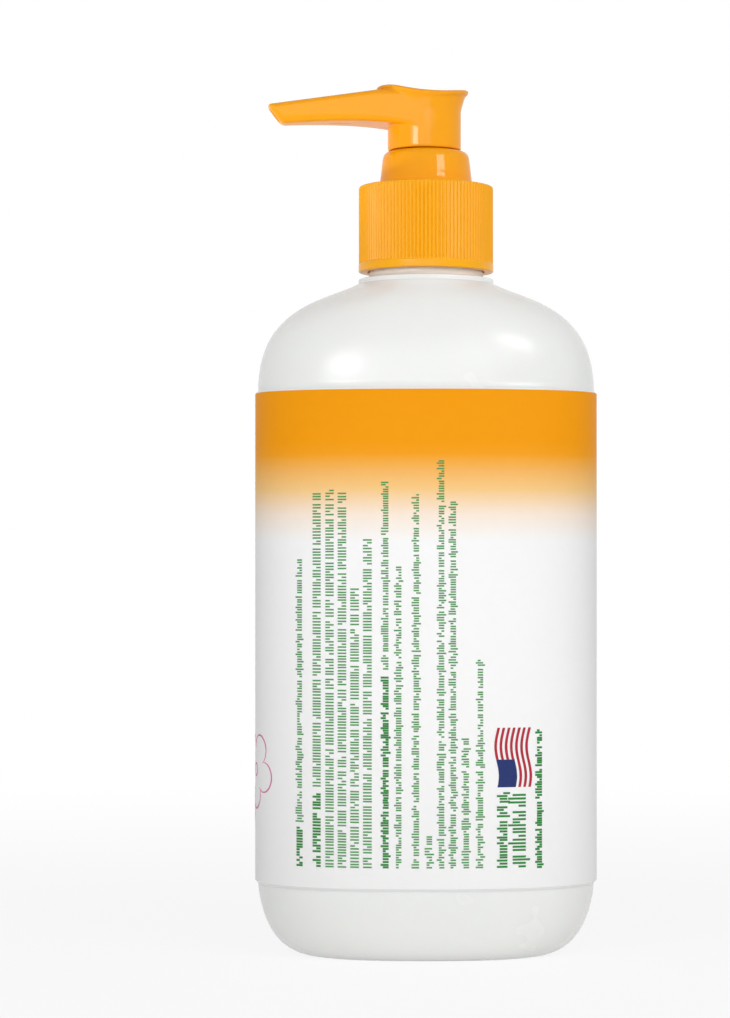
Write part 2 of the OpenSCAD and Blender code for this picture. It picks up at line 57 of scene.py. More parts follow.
def cubic(a, b, c, d, t):
    # (1-t)^3 a + 3 (1-t)^2 t b + 3 (1-t) t^2 c + t^3 d
    return (1 - t) ** 3 * a + 3 * (1 - t) ** 2 * t * b + 3 * (1 - t) * t ** 2 * c + t ** 3 * d


def easeBetween(low, high, value):
    # 3 t^2 - 2 t^3 with t going from 0 at low to 1 at high
    t = np.clip((value - low) / (high - low), 0, 1)
    return t * t * (3 - 2 * t)


def softCorners(corners, steps=5):
    # A closed outline of corners (radius, height, reach): each corner is a parabola that leaves
    # one side a reach before the corner and joins the next side a reach after it
    corners = np.array(corners, float)
    point, reach = corners[:, :2], corners[:, 2:]
    back, ahead = np.roll(point, 1, 0) - point, np.roll(point, -1, 0) - point
    back *= np.minimum(reach / np.linalg.norm(back, axis=1, keepdims=True), 0.49)
    ahead *= np.minimum(reach / np.linalg.norm(ahead, axis=1, keepdims=True), 0.49)
    t = np.linspace(0, 1, steps)[None, :, None]
    curve = point[:, None] + (1 - t) ** 2 * back[:, None] + t ** 2 * ahead[:, None]
    return curve.reshape(-1, 2)


def ringQuads(rows, columns, rowsClose=True):
    # Point (row, column) is number row * columns + column; a quad joins neighbours in both ways
    row = np.arange(rows if rowsClose else rows - 1)[:, None]
    column = np.arange(columns)[None, :]
    above, beside = (row + 1) % rows, (column + 1) % columns
    quads = np.stack([row * columns + column, row * columns + beside,
                      above * columns + beside, above * columns + column], axis=-1)
    return quads.reshape(-1, 4).tolist()


def newPiece(name, points, faces, finishes, body, replaced=(), crease=40, finishOf=None):
    mesh = bpy.data.meshes.new(name)
    mesh.from_pydata((np.asarray(points, float).reshape(-1, 3) / 1000).tolist(), [], faces)
    for finish in finishes:
        mesh.materials.append(finish)
    if finishOf is not None:
        mesh.polygons.foreach_set("material_index", finishOf)
    mesh.shade_smooth()
    mesh.set_sharp_from_angle(angle=math.radians(crease))
    piece = bpy.data.objects.new(name, mesh)
    bpy.context.scene.collection.objects.link(piece)
    if body:
        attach(piece, body)
    if replaced:
        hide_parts(*replaced)
    return piece


def turnedPoints(outline, columns, offset=None):
    # Each outline point (r, z) becomes the ring (r cos a, r sin a, z); the offset adds to r by
    # height and angle
    angle = np.linspace(0, 2 * np.pi, columns, endpoint=False)
    radius = np.repeat(outline[:, :1], columns, axis=1)
    if offset is not None:
        radius = radius + offset(outline[:, 1:], angle[None, :])
    height = np.repeat(outline[:, 1:], columns, axis=1)
    return np.stack([radius * np.cos(angle), radius * np.sin(angle), height], axis=-1)


def alongHelix(section, radius, foot, lead, turns, perTurn, fade=0.0):
    # A closed section of (outward, upward) carried round a helix: the angle grows by a full turn
    # while the height grows by the lead; over the fade, in turns, the section swells from nothing
    section = np.array(section, float)
    count = int(round(turns * perTurn)) + 1
    turn = np.linspace(0, turns, count)[:, None]
    swell = np.ones_like(turn)
    if fade:
        swell = easeBetween(0, fade, turn) * easeBetween(0, fade, turns - turn) * 0.98 + 0.02
    out = radius + section[None, :, 0] * swell
    up = foot + lead(turn) + section[None, :, 1] * (0.4 + 0.6 * swell)
    angle = 2 * np.pi * turn
    points = np.stack([out * np.cos(angle), out * np.sin(angle), up + 0 * out], axis=-1)
    size = len(section)
    # the rows run along the helix and the columns round the section
    faces = ringQuads(count, size, rowsClose=False)
    faces += [list(range(size))[::-1], [(count - 1) * size + i for i in range(size)]]
    return points, faces


# Finishes

def screenColour(code):
    # Each channel c of a screen colour becomes ((c + 0.055) / 1.055) to the power 2.4
    channel = np.array([int(code[i:i + 2], 16) for i in (1, 3, 5)]) / 255
    return tuple(float(v) for v in ((channel + 0.055) / 1.055) ** 2.4) + (1.0,)


def noiseNode(tree, scale, detail=2.0, roughness=0.5):
    noise = tree.nodes.new("ShaderNodeTexNoise")
    noise.inputs["Scale"].default_value = scale
    noise.inputs["Detail"].default_value = detail
    noise.inputs["Roughness"].default_value = roughness
    tree.links.new(tree.nodes["Place"].outputs["Object"], noise.inputs["Vector"])
    return noise


roughnessDrift = 0.15


def newFinish(name, look):
    # A plastic or metal whose colour, roughness and surface each drift with their own noise
    finish = bpy.data.materials.new(name)
    finish.use_nodes = True
    tree = finish.node_tree
    shader = tree.nodes["Principled BSDF"]
    place = tree.nodes.new("ShaderNodeTexCoord")
    place.name = "Place"
    mottle = noiseNode(tree, look["mottleScale"])
    blend = tree.nodes.new("ShaderNodeMix")
    blend.name = "Tone"
    blend.data_type = "RGBA"
    blend.inputs["A"].default_value = screenColour(look["colour"])
    blend.inputs["B"].default_value = screenColour(look["second"])
    tree.links.new(mottle.outputs["Fac"], blend.inputs["Factor"])
    tree.links.new(blend.outputs["Result"], shader.inputs["Base Color"])
    gloss = tree.nodes.new("ShaderNodeMapRange")
    gloss.inputs["To Min"].default_value = look["roughness"] * (1 - roughnessDrift)
    gloss.inputs["To Max"].default_value = look["roughness"] * (1 + roughnessDrift)
    tree.links.new(noiseNode(tree, look["mottleScale"] * 3).outputs["Fac"], gloss.inputs["Value"])
    tree.links.new(gloss.outputs["Result"], shader.inputs["Roughness"])
    bump = tree.nodes.new("ShaderNodeBump")
    bump.name = "Grain"
    bump.inputs["Strength"].default_value = look["grain"]
    bump.inputs["Distance"].default_value = look["grainDepth"] / 1000
    tree.links.new(noiseNode(tree, look["grainScale"], 3.0).outputs["Fac"], bump.inputs["Height"])
    tree.links.new(bump.outputs["Normal"], shader.inputs["Normal"])
    for socket, value in look.get("sockets", {}).items():
        shader.inputs[socket].default_value = value
    return finish


finishLooks = {
    "bottlePlastic": {"colour": "#EFEEEC", "second": "#ECEBE9", "mottleScale": 18,
                      "roughness": 0.26, "grain": 0.1, "grainDepth": 0.05, "grainScale": 60,
                      "sockets": {"Subsurface Weight": 0.12, "Subsurface Scale": 0.004,
                                  "IOR": 1.5}},
    "ribbedOrange": {"colour": "#F6AC0C", "second": "#F2A70A", "mottleScale": 300,
                     "roughness": 0.3, "grain": 0.1, "grainDepth": 0.05, "grainScale": 900,
                     "sockets": {"Specular IOR Level": 0.25}},
    "glossyOrange": {"colour": "#F3A106", "second": "#EF9D04", "mottleScale": 200,
                     "roughness": 0.36, "grain": 0.06, "grainDepth": 0.05, "grainScale": 120,
                     "sockets": {"Specular IOR Level": 0.04, "Coat Weight": 0.34, "Coat IOR": 1.5,
                                 "Coat Roughness": 0.05}},
    "naturalPlastic": {"colour": "#E9ECE8", "second": "#DFE4E0", "mottleScale": 80,
                       "roughness": 0.38, "grain": 0.1, "grainDepth": 0.05, "grainScale": 700,
                       "sockets": {"Subsurface Weight": 0.2, "Subsurface Scale": 0.002}},
    "sealPlastic": {"colour": "#F1F1EF", "second": "#E7E7E4", "mottleScale": 90, "roughness": 0.5,
                    "grain": 0.15, "grainDepth": 0.05, "grainScale": 600},
    "tubePlastic": {"colour": "#E6EAEA", "second": "#DDE2E3", "mottleScale": 60, "roughness": 0.32,
                    "grain": 0.12, "grainDepth": 0.05, "grainScale": 500,
                    "sockets": {"Subsurface Weight": 0.25, "Subsurface Scale": 0.002}},
    "springSteel": {"colour": "#C8CACC", "second": "#B6B8BB", "mottleScale": 400,
                    "roughness": 0.26, "grain": 0.2, "grainDepth": 0.02, "grainScale": 2500,
                    "sockets": {"Metallic": 1.0}},
    "ballSteel": {"colour": "#D2D4D6", "second": "#C4C6C9", "mottleScale": 300, "roughness": 0.12,
                  "grain": 0.05, "grainDepth": 0.01, "grainScale": 3000,
                  "sockets": {"Metallic": 1.0}},
    "labelFilm": {"colour": "#FCFCFC", "second": "#F7F7F8", "mottleScale": 400, "roughness": 0.55,
                  "grain": 0.08, "grainDepth": 0.05, "grainScale": 260,
                  "sockets": {"Specular IOR Level": 0.12}},
}
# The inks differ only in colour
inkLook = {"mottleScale": 900, "roughness": 0.45, "grain": 0.1, "grainDepth": 0.01,
           "grainScale": 3000, "sockets": {"Specular IOR Level": 0.2}}
inkColours = {"greenInk": ("#4E9150", "#5A9A5A"), "boldGreenInk": ("#2F8038", "#3A8843"),
              "redInk": ("#AC2335", "#B53042"), "blueInk": ("#1E2E68", "#283770"),
              "pinkInk": ("#CF6A9C", "#D880AB")}
for ink, (colour, second) in inkColours.items():
    finishLooks[ink] = {"colour": colour, "second": second, **inkLook}
finishes = {name: newFinish(name, look) for name, look in finishLooks.items()}


# The mould's parting line down both narrow sides of the bottle: a low ridge of the bump where
# |y| is small
def addPartingLine(finish, width, height, strength):
    tree = finish.node_tree
    split = tree.nodes.new("ShaderNodeSeparateXYZ")
    away = tree.nodes.new("ShaderNodeMath")
    away.operation = "ABSOLUTE"
    ridge = tree.nodes.new("ShaderNodeMapRange")
    ridge.interpolation_type = "SMOOTHSTEP"
    ridge.inputs["From Max"].default_value = width / 1000
    ridge.inputs["To Min"].default_value = 1
    ridge.inputs["To Max"].default_value = 0
    line = tree.nodes.new("ShaderNodeBump")
    line.inputs["Strength"].default_value = strength
    line.inputs["Distance"].default_value = height / 1000
    shader = tree.nodes["Principled BSDF"]
    tree.links.new(tree.nodes["Place"].outputs["Object"], split.inputs["Vector"])
    tree.links.new(split.outputs["Y"], away.inputs[0])
    tree.links.new(away.outputs["Value"], ridge.inputs["Value"])
    tree.links.new(ridge.outputs["Result"], line.inputs["Height"])
    tree.links.new(tree.nodes["Grain"].outputs["Normal"], line.inputs["Normal"])
    tree.links.new(line.outputs["Normal"], shader.inputs["Normal"])


addPartingLine(finishes["bottlePlastic"], width=0.35, height=0.2, strength=0.35)

# The label's printed colour by height: orange above, fading to white below
labelPrint = {
    "foot": 18.2,
    "height": 119.2,
    "fade": [(101.0, "#FCFCFC"), (107.5, "#FEEDDC"), (113.5, "#FCCF8A"), (119.3, "#FBB450"),
             (122.0, "#FBA41C"), (125.0, "#FAA007")],
    # the mottling multiplies the print by 1 down to this
    "mottleTo": 0.97,
}


def addLabelFade(finish):
    foot, height, stops = labelPrint["foot"], labelPrint["height"], labelPrint["fade"]
    tree = finish.node_tree
    split = tree.nodes.new("ShaderNodeSeparateXYZ")
    share = tree.nodes.new("ShaderNodeMapRange")
    share.inputs["From Min"].default_value = foot / 1000
    share.inputs["From Max"].default_value = (foot + height) / 1000
    ramp = tree.nodes.new("ShaderNodeValToRGB")
    while len(ramp.color_ramp.elements) < len(stops):
        ramp.color_ramp.elements.new(1.0)
    for element, (level, code) in zip(ramp.color_ramp.elements, stops):
        element.position = (level - foot) / height
        element.color = screenColour(code)
    tone = tree.nodes["Tone"]
    tone.blend_type = "MULTIPLY"
    tone.inputs["B"].default_value = (labelPrint["mottleTo"],) * 3 + (1,)
    tree.links.new(tree.nodes["Place"].outputs["Object"], split.inputs["Vector"])
    tree.links.new(split.outputs["Z"], share.inputs["Value"])
    tree.links.new(share.outputs["Result"], ramp.inputs["Fac"])
    tree.links.new(ramp.outputs["Color"], tone.inputs["A"])


addLabelFade(finishes["labelFilm"])
print("finishes made")


# The blown bottle, with its hollow base, panel for the label, shoulder, step and neck
bottle = {
    "width": 82.6, "depth": 49.6, "square": 2.4, "height": 164.3,
    "shoulder": 26.2, "heel": 17.3, "heelInWidth": 12.4, "heelInDepth": 8.0,
    "wall": 1.1, "footRing": 3.5, "pushUp": 2.4,
    # the panel's edge as steps of (outward, upward) from its foot; its top is the same upside down
    "panelFoot": 17.9, "panelTop": 137.7,
    "panelEdge": [[0, -0.38], [0.06, -0.3], [0.49, 0.12], [0.55, 0.3]],
    "crown": 16.9, "stepRadius": 16.6, "stepTop": 165.6,
    "beadRadius": 14.0, "beadTop": 169.0, "neckRadius": 12.9, "rim": 184.2, "bore": 11.6,
    "columns": 288,
}


def bodyRows(inset, heelRows=26, shoulderRows=44):
    # Rows of (half-width, half-depth, squareness, height) from the foot ring up to the crown:
    # the heel's cubic, the straight wall with its raised panel, and the shoulder's cubic
    b = bottle
    t = np.linspace(0, 1, heelRows)
    out = cubic(0, 1.04, 1, 1, t)
    z = cubic(inset, inset + b["heel"] * 0.08, b["heel"] * 1.18, b["heel"], t)
    heel = np.stack([b["width"] / 2 - inset - b["heelInWidth"] * (1 - out),
                     b["depth"] / 2 - inset - b["heelInDepth"] * (1 - out),
                     b["square"] + 0 * t, z], axis=1)
    rise = np.array(b["panelEdge"])
    sides = [b["width"] / 2 - inset, b["depth"] / 2 - inset]
    up = np.stack([sides[0] + rise[:, 0], sides[1] + rise[:, 0], b["square"] + 0 * rise[:, 0],
                   b["panelFoot"] + rise[:, 1]], axis=1)
    down = up[::-1].copy()
    down[:, 3] = b["panelTop"] - rise[::-1, 1]
    t = np.linspace(0, 1, shoulderRows)
    share = cubic(1, 1, 0.3, 0, t)
    z = cubic(b["height"] - b["shoulder"], b["height"] - b["shoulder"] * 0.196,
              b["height"] - b["shoulder"] * 0.152, b["height"], t) - inset * (1 - share ** 4)
    shoulder = np.stack([b["crown"] - inset + (b["width"] / 2 - b["crown"]) * share,
                         b["crown"] - inset + (b["depth"] / 2 - b["crown"]) * share,
                         2 + (b["square"] - 2) * share, z], axis=1)
    return np.concatenate([heel, up, down, shoulder[1:]])


def roundRows(outline):
    # A round part of the bottle: both halves are the radius and the squareness is that of a circle
    outline = np.array(outline, float)
    return np.stack([outline[:, 0], outline[:, 0], 2 + 0 * outline[:, 0], outline[:, 1]], axis=1)


def baseRows(inset, fractions):
    # The hollow of the base, which rises from the ring it stands on in a half wave
    b = bottle
    f = np.array(fractions, float)
    wide = b["width"] / 2 - b["heelInWidth"] - b["footRing"]
    deep = b["depth"] / 2 - b["heelInDepth"] - b["footRing"]
    lift = b["pushUp"] * (1 - np.cos(np.pi * np.clip((1 - f) * 2.2, 0, 1))) / 2
    return np.stack([wide * f, deep * f, b["square"] + 0 * f, inset + lift], axis=1)


def makeBottle():
    # A ring of row (a, b, n, z) is (a sgn|cos|^(2/n), b sgn|sin|^(2/n), z); the rows run from the
    # middle of the underside, up the outside, over the rim and down the inside to the floor
    b = bottle
    step, bead, neck, rim = b["stepRadius"], b["beadRadius"], b["neckRadius"], b["rim"]
    under = baseRows(0, [0.03, 0.3, 0.55, 0.62, 0.7, 0.78, 0.86, 0.93, 0.98, 1.0])
    outside = bodyRows(0)
    outside[0, 3] = 0.0
    t = np.linspace(0, np.pi / 2, 9)
    fillet = np.stack([bead + 1.3 - 1.3 * np.sin(t), b["stepTop"] + 1.3 - 1.3 * np.cos(t)], axis=1)
    upper = [[step + 0.12, b["height"] + 0.06], [step, b["height"] + 0.2],
             [step, b["stepTop"] - 0.25], [step - 0.08, b["stepTop"] - 0.08],
             [step - 0.25, b["stepTop"]]]
    lip = [[bead, b["beadTop"] - 0.5], [bead - 0.15, b["beadTop"] - 0.15],
           [bead - 0.5, b["beadTop"]], [neck + 0.4, b["beadTop"]], [neck + 0.1, b["beadTop"] + 0.1],
           [neck, b["beadTop"] + 0.4], [neck, rim - 0.5], [neck - 0.12, rim - 0.12],
           [neck - 0.5, rim], [b["bore"] + 0.4, rim], [b["bore"] + 0.1, rim - 0.1],
           [b["bore"], rim - 0.4], [b["bore"], b["height"] - b["wall"] + 0.6],
           [b["bore"] + 0.2, b["height"] - b["wall"] + 0.1]]
    neckRows = roundRows(np.concatenate([upper, fillet, lip]))
    inside = bodyRows(b["wall"])[::-1]
    floor = baseRows(b["wall"], [1.0, 0.93, 0.86, 0.78, 0.7, 0.62, 0.55, 0.3, 0.03])
    rows = np.concatenate([under, outside, neckRows, inside, floor])
    keep = np.concatenate([[True], np.abs(np.diff(rows, axis=0)).max(axis=1) > 1e-4])
    rows = rows[keep]
    angle = np.linspace(0, 2 * np.pi, b["columns"], endpoint=False)[None, :]
    power = 2 / rows[:, 2:3]
    points = np.stack([rows[:, 0:1] * signedPower(np.cos(angle), power),
                       rows[:, 1:2] * signedPower(np.sin(angle), power),
                       rows[:, 3:4] + 0 * angle], axis=-1)
    count, columns = len(rows), b["columns"]
    faces = ringQuads(count, columns, rowsClose=False)
    faces += [list(range(columns))[::-1], [(count - 1) * columns + i for i in range(columns)]]
    return newPiece("bottleBody", points, faces, [finishes["bottlePlastic"]], "bottle",
                    ["bottle"], crease=50)


makeBottle()

# The screw thread: one ridge on the neck and one in the closure, half a lead apart
thread = {"lead": 4.233, "neckFoot": 171.9, "neckTurns": 1.9, "closureFoot": 174.0,
          "closureTurns": 1.6, "tip": 0.35, "root": 0.85, "neckDepth": 0.85, "closureDepth": 0.9,
          "sunk": 0.2, "perTurn": 96, "runOut": 0.12}


def threadLead(turn):
    return turn * thread["lead"]


def threadSection(depth, sunk):
    # A ridge with sloping flanks: its root is sunk into the wall and its tip stands out by the
    # depth
    return [[-sunk, -thread["root"]], [depth, -thread["tip"]], [depth, thread["tip"]],
            [-sunk, thread["root"]]]


points, faces = alongHelix(threadSection(thread["neckDepth"], thread["sunk"]),
                           bottle["neckRadius"], thread["neckFoot"], threadLead,
                           thread["neckTurns"], thread["perTurn"], fade=thread["runOut"])
newPiece("neckThread", points, [face[::-1] for face in faces], [finishes["bottlePlastic"]],
         "bottle", crease=30)
print("bottle made")


# The wrap-round label; its print follows below
label = {"halfWidth": 42.05, "halfDepth": 25.55, "square": 2.4, "film": 0.14, "inkLift": 0.05,
         "edge": 0.04, "columns": 360}


def makeLabel():
    # The oval (a sgn|cos|^(2/n), b sgn|sin|^(2/n)) drawn up as a thin closed band, with its own
    # UV: u goes once round and v goes up
    lift = label["inkLift"]
    half = label["halfWidth"] - lift - 0.01, label["halfDepth"] - lift - 0.01
    foot, top = labelPrint["foot"] + 0.02, labelPrint["foot"] + labelPrint["height"] - 0.02
    film, edge = label["film"], label["edge"]
    section = np.array([[-film, foot], [-edge, foot], [0, foot + edge], [0, top - edge],
                        [-edge, top], [-film, top]])
    columns = label["columns"]
    angle = np.linspace(0, 2 * np.pi, columns, endpoint=False)[None, :]
    power = 2 / label["square"]
    points = np.stack([(half[0] + section[:, :1]) * signedPower(np.cos(angle), power),
                       (half[1] + section[:, :1]) * signedPower(np.sin(angle), power),
                       section[:, 1:] + 0 * angle], axis=-1)
    faces = ringQuads(len(section), columns)
    piece = newPiece("labelBand", points, faces, [finishes["labelFilm"]], "bottle",
                     ["label"], crease=60)
    # a loop's u is the column it lies on, and the last quad of each row ends at 1
    corner = np.array(faces)
    column = corner % columns
    column[(column.max(axis=1) == columns - 1)[:, None] & (column == 0)] = columns
    row = corner // columns
    height = (section[row, 1] - foot) / (top - foot)
    layer = piece.data.uv_layers.new(name="aroundAndUp")
    layer.data.foreach_set("uv", np.stack([column / columns, height], axis=-1).ravel())


makeLabel()

# Where a point printed at a distance s round the label lies: s is measured along the oval from the
# middle of the side that the camera sees, and grows toward +X
sweep = np.linspace(-1.5 * np.pi, 0.5 * np.pi, 8001)
ovalX = label["halfWidth"] * signedPower(np.cos(sweep), 2 / label["square"])
ovalY = label["halfDepth"] * signedPower(np.sin(sweep), 2 / label["square"])
ovalS = np.concatenate([[0], np.cumsum(np.hypot(np.diff(ovalX), np.diff(ovalY)))])
ovalS -= np.interp(-np.pi / 2, sweep, ovalS)


def onLabel(s, z, depth):
    x, y = np.interp(s, ovalS, ovalX), np.interp(s, ovalS, ovalY)
    square = label["square"]
    away = np.stack([signedPower(x / label["halfWidth"], square - 1) / label["halfWidth"],
                     signedPower(y / label["halfDepth"], square - 1) / label["halfDepth"]])
    away = away / np.linalg.norm(away, axis=0)
    return np.stack([x - away[0] * depth, y - away[1] * depth, z], axis=-1)


def inkSolids(lowS, lowZ, highS, highZ, closed=False):
    # Thin printed shapes: each has stations along it, with a low and a high edge that are given as
    # distance round the label and height; four corners at each station make a closed solid
    top, foot = 0.005, label["inkLift"] + 0.015
    points = np.stack([onLabel(lowS, lowZ, foot), onLabel(highS, highZ, foot),
                       onLabel(highS, highZ, top), onLabel(lowS, lowZ, top)], axis=2)
    shapes, stations = lowS.shape
    shape = np.arange(shapes)[:, None, None] * stations * 4
    station = np.arange(stations if closed else stations - 1)[None, :, None]
    corner = np.arange(4)[None, None, :]
    here, ahead = station * 4, (station + 1) % stations * 4
    beside = (corner + 1) % 4
    quads = np.stack(np.broadcast_arrays(shape + here + corner, shape + ahead + corner,
                                         shape + ahead + beside, shape + here + beside), axis=-1)
    quads = quads.reshape(-1, 4)
    if not closed:
        first = shape[:, 0] + np.arange(4)
        last = first + (stations - 1) * 4
        quads = np.concatenate([quads, first, last[:, ::-1]])
    return points.reshape(-1, 3), quads


# The print: each line of text is kept as a row of plain short bars with gaps at word lengths,
# and it runs from the foot up with its upper side toward -X
labelText = {
    "start": 23.2, "space": 0.55, "pitch": 0.6, "bar": 0.36, "boldBar": 1.35, "seed": 5,
    # how much of a short bar is missing, and the share of bars that stop short on either side
    "cut": 0.42, "short": 0.12,
    # distance round the label, height of the line's end, height of its bars, share of tall bars
    "lines": [
        (-31.2, 97.3, 1.5, 0.3), (-26.6, 112.9, 2.3, 0.0), (-23.3, 113.8, 2.3, 0.0),
        (-20.2, 113.1, 2.3, 0.0), (-17.1, 90.6, 2.3, 0.0), (-14.0, 101.8, 2.3, 0.0),
        (-9.6, 116.1, 1.5, 0.3), (-6.5, 95.4, 1.5, 0.3), (-2.3, 112.5, 1.5, 0.3),
        (0.8, 31.2, 1.5, 0.3), (3.7, 120.4, 1.5, 0.3), (6.5, 110.9, 1.5, 0.35),
        (9.6, 54.5, 1.5, 0.4), (13.0, 73.5, 1.5, 0.3),
    ],
    # bold starts and lines: distance, foot, end, height of the bars, share of tall bars
    "bold": [
        (-31.2, 23.2, 32.6, 1.9, 0.0), (-26.6, 23.2, 41.2, 2.3, 0.0), (-9.6, 23.2, 69.3, 1.6, 0.3),
        (18.6, 23.2, 41.6, 2.1, 0.3), (22.5, 23.2, 41.0, 3.5, 0.15), (27.7, 22.9, 56.4, 1.5, 0.25),
    ],
}


def barsOfLine(s, foot, end, tall, risen, bold, random):
    # Words of 2 to 11 letters, two bars to a letter; a space follows the last bar of each word
    t = labelText
    word = np.repeat(np.arange(60), 2 * random.integers(2, 12, 60))
    pitch = t["pitch"] * (tall / 1.5) ** 0.35 * random.uniform(0.85, 1.15, len(word))
    jump = np.concatenate([[0], np.diff(word)]) * t["space"] * (tall / 1.5) ** 0.5
    start = foot + np.cumsum(pitch + jump) - pitch[0]
    start = start[start < end - t["bar"]]
    up = np.where(random.random(len(start)) < risen, tall * 0.32, 0)
    down = np.where(random.random(len(start)) < risen * 0.3, tall * 0.3, 0)
    up, down = up + tall / 2 - 0.1, down + tall / 2 - 0.1
    short = random.random(len(start))
    up = np.where(short < t["short"], up - tall * t["cut"], up)
    down = np.where(short > 1 - t["short"], down - tall * t["cut"], down)
    bar = t["bar"] * (t["boldBar"] if bold else 1) + 0 * start
    return np.stack([s - up, s + down, start, start + bar], axis=1)


def makeText():
    # Every bar is a small flat block: low and high edge round the label, foot and top in height
    random = np.random.default_rng(labelText["seed"])
    bold = [barsOfLine(*line, True, random) for line in labelText["bold"]]
    boldEnd = {line[0]: line[2] + 1.2 for line in labelText["bold"]}
    plain = [barsOfLine(s, boldEnd.get(s, labelText["start"]), end, tall, risen, False, random)
             for s, end, tall, risen in labelText["lines"]]
    bars = np.concatenate(plain + bold)
    share = np.linspace(0, 1, 4)[None, :]
    alongS = bars[:, :1] + (bars[:, 1:2] - bars[:, :1]) * share
    low, high = bars[:, 2:3] + 0 * share, bars[:, 3:4] + 0 * share
    points, faces = inkSolids(alongS, high, alongS, low)
    isBold = np.repeat([False, True], [sum(map(len, plain)), sum(map(len, bold))])
    finishOf = np.concatenate([np.repeat(isBold, 12), isBold, isBold]).astype(int)
    newPiece("printedLines", points, faces.tolist(),
             [finishes["greenInk"], finishes["boldGreenInk"]], "bottle", crease=30,
             finishOf=finishOf)


makeText()

emblem = {"left": 16.9, "right": 25.2, "foot": 42.4, "top": 56.6, "wave": 0.55, "phase": 0.4,
          "stripes": 7, "patchTop": 49.0, "patchRight": 21.4}


def emblemSway(z):
    # The patch's wave: wave sin(2 pi share + phase), with the share going from foot to top
    share = (z - emblem["foot"]) / (emblem["top"] - emblem["foot"])
    return emblem["wave"] * np.sin(2 * np.pi * share + emblem["phase"])


def makeEmblem():
    # A waved patch with stripes, of which the upper left ones start above the plain corner
    pitch = (emblem["right"] - emblem["left"]) / (2 * emblem["stripes"] - 1)
    left = emblem["left"] + 2 * pitch * np.arange(emblem["stripes"])[:, None]
    covered = left < emblem["patchRight"] - pitch
    start = np.where(covered, emblem["patchTop"], emblem["foot"])
    z = start + (emblem["top"] - start) * np.linspace(0, 1, 40)[None, :]
    wave = emblemSway(z)
    stripes, stripeFaces = inkSolids(left + wave, z, left + pitch + wave, z)
    # the corner is laid in eight narrow strips, so that it follows the label's curve
    z = np.repeat(np.linspace(emblem["foot"], emblem["patchTop"], 24)[None, :], 8, axis=0)
    edge = np.linspace(emblem["left"], emblem["patchRight"], 9)[:, None]
    wave = emblemSway(z)
    patch, patchFaces = inkSolids(edge[:-1] + wave, z, edge[1:] + wave, z)
    faces = stripeFaces.tolist() + (patchFaces + len(stripes)).tolist()
    finishOf = np.repeat([0, 1], [len(stripeFaces), len(patchFaces)])
    newPiece("printedEmblem", np.concatenate([stripes, patch]), faces,
             [finishes["redInk"], finishes["blueInk"]], "bottle", crease=30,
             finishOf=finishOf)


makeEmblem()

# Each blossom: distance round the label, height, radius and turn
blossoms = {"line": 0.42, "petals": 5,
            "places": [(-49.5, 45.5, 9.5, 0.35), (-60.5, 33.5, 7.0, 0.9), (-62.0, 54.0, 5.5, 0.1)]}


def makeBlossoms():
    # Round the angle a, a petal outline's radius is R (0.58 + 0.42 w), with w being
    # |sin(petals a / 2)| to the 0.6; the heart is a small ring of the same line
    angle = np.linspace(0, 2 * np.pi, 240, endpoint=False)[None, :]
    place = np.array(blossoms["places"])
    s, z, size, turn = [place[:, i:i + 1] for i in range(4)]
    petal = 0.58 + 0.42 * np.abs(np.sin(blossoms["petals"] * angle / 2)) ** 0.6
    radius = np.concatenate([size * petal, size * 0.16 + 0 * angle])
    s, z, turn = np.tile(s, (2, 1)), np.tile(z, (2, 1)), np.tile(turn, (2, 1))
    half = blossoms["line"] / 2
    inner, outer = radius - half, radius + half
    points, faces = inkSolids(s + inner * np.cos(angle + turn), z + inner * np.sin(angle + turn),
                              s + outer * np.cos(angle + turn), z + outer * np.sin(angle + turn),
                              closed=True)
    newPiece("printedBlossoms", points, faces[:, ::-1].tolist(), [finishes["pinkInk"]], "bottle",
             crease=30)


makeBlossoms()
print("label made")


# The ribbed screw closure
closure = {"radius": 16.6, "foot": 167.4, "top": 188.5, "band": 169.2, "bore": 14.4,
           "ceiling": 186.9, "hole": 10.1, "fillet": 0.85, "ribs": 108, "ribDepth": 0.34}


def makeClosure():
    # A turned outline whose skirt is drawn in between the ribs by depth (1 - w), where
    # w = (0.5 + 0.5 cos(ribs a)) to the 0.8, between the plain band and the top's fillet
    c = closure
    tip = c["radius"] - 0.06
    outline = softCorners([
        (c["bore"], c["foot"], 0.3), (c["radius"], c["foot"], 0.35), (c["radius"], c["band"], 0.12),
        (tip, c["band"] + 0.12, 0.04), (tip, c["band"] + 0.5, 0.04), (tip, c["band"] + 9, 0.5),
        (tip, c["top"] - 1.5, 0.1), (tip, c["top"], c["fillet"]), (c["hole"], c["top"], 0.25),
        (c["hole"], c["ceiling"], 0.1), (c["bore"], c["ceiling"], 0.6)], steps=7)

    def grip(z, angle):
        wave = (0.5 + 0.5 * np.cos(c["ribs"] * angle)) ** 0.8
        held = easeBetween(c["band"] + 0.1, c["band"] + 0.45, z) \
            * (1 - easeBetween(c["top"] - 0.75, c["top"] - 0.08, z))
        return -c["ribDepth"] * (1 - wave) * held

    points = turnedPoints(outline, c["ribs"] * 8)
    ribbed = turnedPoints(outline, c["ribs"] * 8, grip)
    onSkirt = outline[:, 0] > c["bore"] + 0.8
    points[onSkirt] = ribbed[onSkirt]
    faces = ringQuads(len(outline), c["ribs"] * 8)
    newPiece("closureShell", points, faces, [finishes["ribbedOrange"]], "closure",
             ["closure"], crease=60)
    ridge, ridgeFaces = alongHelix(threadSection(-thread["closureDepth"], -thread["sunk"]),
                                   c["bore"], thread["closureFoot"], threadLead,
                                   thread["closureTurns"], thread["perTurn"],
                                   fade=thread["runOut"])
    newPiece("closureThread", ridge, ridgeFaces, [finishes["ribbedOrange"]], "closure",
             crease=30)


makeClosure()
print("closure made")


